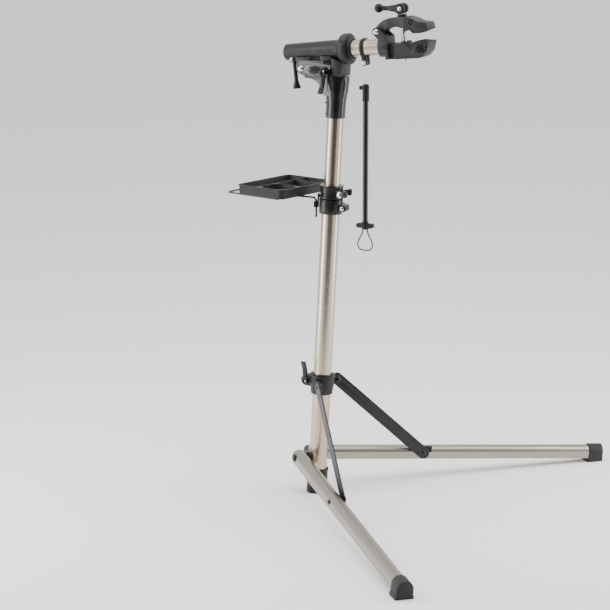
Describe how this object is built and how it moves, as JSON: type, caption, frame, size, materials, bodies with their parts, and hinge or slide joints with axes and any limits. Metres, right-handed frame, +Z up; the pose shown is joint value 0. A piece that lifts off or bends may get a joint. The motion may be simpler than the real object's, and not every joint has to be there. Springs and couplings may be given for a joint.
{
  "type": "bicycle repair stand",
  "caption": "Folding repair stand with a telescopic mast, fold-down braced legs, a turning clamp arm that folds over, a parts tray and a hanging bar holder",
  "frame": {"origin": "on the floor, at the centre of the mast's base foot", "axes": "+X level, under the clamp arm towards the jaws; +Y to the left of the arm; +Z up"},
  "size_m": [0.7399, 1.1708, 1.182],
  "materials": {
    "tube_champagne": "satin anodised champagne",
    "black_plastic": "fine moulded grain",
    "grey_plastic": "satin charcoal moulding",
    "gloss_black": "gloss black",
    "black_cast": "black powder coat",
    "black_steel": "black coated steel",
    "chrome": "polished",
    "steel": "plain steel",
    "rubber": "matt black rubber",
    "cord": "braided black cord"
  },
  "bodies": {
    "stand": {"lower_tube": "tube_champagne", "base_foot": "black_plastic", "leg_spacers": "black_plastic", "leg_bolts": "black_steel", "mast_clamp": "black_cast", "clamp_bush": "black_plastic", "clamp_bolts": "chrome", "tray_ring": "black_cast", "tray_socket": "black_plastic"},
    "leg_left": {"leg_left": "tube_champagne", "plug_left": "black_plastic", "foot_left": "rubber", "brace_bolt_left": "black_steel", "brace_washer_left": "black_plastic"},
    "leg_right": {"leg_right": "tube_champagne", "plug_right": "black_plastic", "foot_right": "rubber", "brace_bolt_right": "black_steel", "brace_washer_right": "black_plastic"},
    "brace_left": {"brace_left": "black_steel"},
    "brace_right": {"brace_right": "black_steel"},
    "collar": {"leg_collar": "grey_plastic", "collar_bush": "black_plastic", "collar_pins": "black_steel", "collar_skewer": "chrome"},
    "collar_lever": {"collar_lever": "black_cast"},
    "mast_lever": {"mast_lever": "black_cast"},
    "ring_knob": {"ring_knob": "black_plastic"},
    "mast": {"upper_tube": "tube_champagne", "neck": "gloss_black", "neck_bolts": "chrome", "head_skewer": "chrome"},
    "head_lever": {"head_lever": "black_cast"},
    "head": {"barrel": "grey_plastic", "barrel_pin": "chrome", "lock_pad": "rubber", "arm_bush": "rubber"},
    "barrel_lever": {"barrel_lever": "black_plastic"},
    "arm": {"arm_tube": "tube_champagne", "arm_spindle": "steel", "hanger_ring": "black_plastic", "arm_bolts": "chrome", "lower_jaw": "grey_plastic", "lower_pad": "rubber", "rod_nut": "steel", "jaw_spring": "chrome"},
    "upper_jaw": {"upper_jaw": "grey_plastic", "upper_pad": "rubber"},
    "cam_slide": {"jaw_rod": "steel", "cam_washer": "black_plastic", "cam_pin": "chrome"},
    "cam_lever": {"cam_lever": "black_plastic"},
    "tray": {"tray_wire": "black_steel", "tray_pan": "black_plastic"},
    "bar": {"bar_hook": "steel", "bar_head": "black_plastic", "bar_tube": "gloss_black", "bar_end": "black_plastic", "loop_cord": "cord"},
    "bar_screw": {"bar_screw": "black_plastic"}
  },
  "joints": [
    {"name": "leg_fold", "type": "hinge", "parent": "stand", "child": "leg_left", "pos_m": [-0.02639, 0.03111, 0.08884], "axis": [0.7061, -0.7071, -0.0379], "range_deg": [0, 77]},
    {"name": "leg_fold_right", "type": "hinge", "parent": "stand", "child": "leg_right", "pos_m": [-0.02639, -0.03111, 0.08884], "axis": [-0.7061, -0.7071, 0.0379], "range_deg": [0, 77]},
    {"name": "brace_fold_left", "type": "hinge", "parent": "leg_left", "child": "brace_left", "pos_m": [0.18376, 0.21543, 0.06387], "axis": [0.7061, -0.7071, -0.0379], "range_deg": [-120.6, 0]},
    {"name": "brace_fold_right", "type": "hinge", "parent": "leg_right", "child": "brace_right", "pos_m": [0.18376, -0.21543, 0.06387], "axis": [-0.7061, -0.7071, 0.0379], "range_deg": [-120.6, 0]},
    {"name": "collar_slide", "type": "slide", "parent": "stand", "child": "collar", "axis": [0.0536, 0, 0.9986], "range_m": [0, 0.3894]},
    {"name": "collar_lever_turn", "type": "hinge", "parent": "collar", "child": "collar_lever", "pos_m": [-0.02072, -0.0182, 0.27651], "axis": [0.9986, 0, -0.0536], "range_deg": [0, 120]},
    {"name": "mast_slide", "type": "slide", "parent": "stand", "child": "mast", "axis": [0.0536, 0, 0.9986], "range_m": [-0.09, 0.4]},
    {"name": "mast_lever_turn", "type": "hinge", "parent": "stand", "child": "mast_lever", "pos_m": [0.07033, 0.0182, 0.70074], "axis": [-0.0536, 0, -0.9986], "range_deg": [0, 110]},
    {"name": "ring_knob_turn", "type": "hinge", "parent": "stand", "child": "ring_knob", "pos_m": [0.06603, 0.01408, 0.73652], "axis": [0.8817, 0.4695, -0.0473], "continuous": true},
    {"name": "head_fold", "type": "hinge", "parent": "mast", "child": "head", "pos_m": [-0.0293, 0, 1.0237], "axis": [0, -1, 0], "range_deg": [0, 205]},
    {"name": "head_lever_turn", "type": "hinge", "parent": "mast", "child": "head_lever", "pos_m": [0.035, -0.0337, 1.0213], "axis": [-1, 0, 0], "range_deg": [0, 120]},
    {"name": "barrel_lever_turn", "type": "hinge", "parent": "head", "child": "barrel_lever", "pos_m": [-0.05847, 0, 1.04242], "axis": [0, 1, 0], "range_deg": [0, 90]},
    {"name": "arm_spin", "type": "hinge", "parent": "head", "child": "arm", "pos_m": [0.08725, 0, 1.07299], "axis": [0.9952, 0, 0.0976], "continuous": true},
    {"name": "jaw_open", "type": "hinge", "parent": "arm", "child": "upper_jaw", "pos_m": [0.16285, 0, 1.11658], "axis": [0, -1, 0], "range_deg": [0, 24], "deforming": ["jaw_spring"]},
    {"name": "cam_travel", "type": "slide", "parent": "arm", "child": "cam_slide", "axis": [-0.0976, 0, 0.9952], "range_m": [0, 0.031]},
    {"name": "cam_lever_turn", "type": "hinge", "parent": "cam_slide", "child": "cam_lever", "pos_m": [0.21639, 0, 1.17006], "axis": [0, 1, 0], "range_deg": [0, 110]},
    {"name": "tray_swivel", "type": "hinge", "parent": "stand", "child": "tray", "pos_m": [0.00754, -0.01667, 0.705], "axis": [0, 0, 1], "range_deg": [-35, 35]},
    {"name": "bar_swing", "type": "hinge", "parent": "arm", "child": "bar", "pos_m": [0.1275, 0, 1.04378], "axis": [0, -1, 0], "range_deg": [-5, 60]},
    {"name": "bar_screw_turn", "type": "hinge", "parent": "bar", "child": "bar_screw", "pos_m": [0.1275, 0, 0.985], "axis": [-1, 0, 0], "continuous": true}
  ],
  "couplings": [
    {"joint": "leg_fold_right", "follows": "leg_fold", "ratio": 1},
    {"joint": "brace_fold_left", "follows": "leg_fold", "ratio": -1.5658},
    {"joint": "brace_fold_right", "follows": "leg_fold", "ratio": -1.5658},
    {"joint": "collar_slide", "follows": "leg_fold", "m_per_rad": 0.28973},
    {"joint": "cam_travel", "follows": "jaw_open", "m_per_rad": 0.0716}
  ]
}
